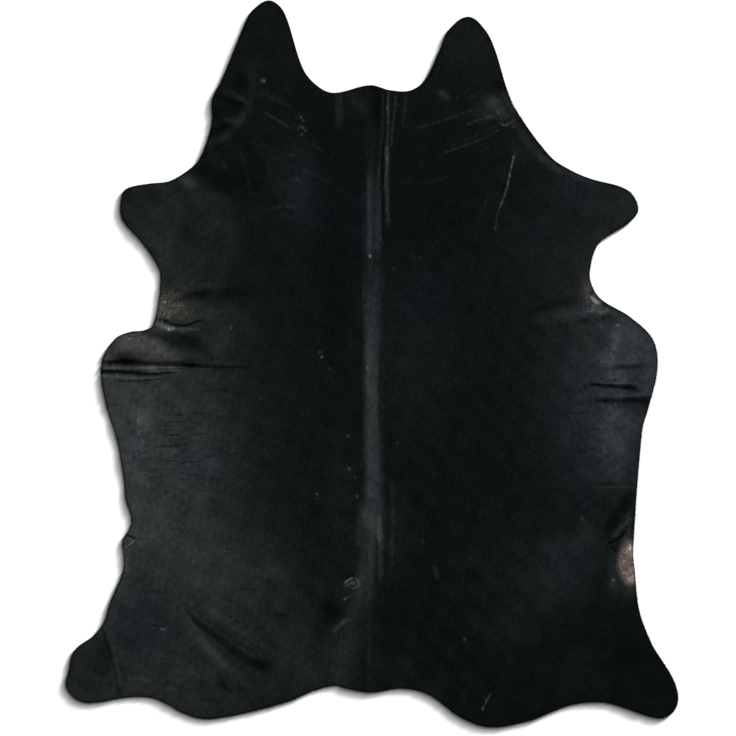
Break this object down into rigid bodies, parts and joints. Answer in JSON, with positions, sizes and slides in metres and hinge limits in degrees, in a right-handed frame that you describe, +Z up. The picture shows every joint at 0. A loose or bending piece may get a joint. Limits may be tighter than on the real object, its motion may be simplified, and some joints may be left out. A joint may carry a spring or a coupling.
{
  "type": "cowhide rug",
  "caption": "Whole black cowhide rug lying flat, hair side up, with neck, leg and belly lobes round its edge and soft creases near the rim.",
  "frame": {"origin": "on the floor under the middle of the hide's box", "axes": "+Y from the rump to the neck, +X to the hide's right side as seen from above, +Z up out of the coat"},
  "size_m": [1.8368, 2.18, 0.0143],
  "materials": {
    "black_cowhair": "short black coat lying flat, satin sheen"
  },
  "bodies": {
    "root": {"hide": "black_cowhair"}
  },
  "joints": []
}
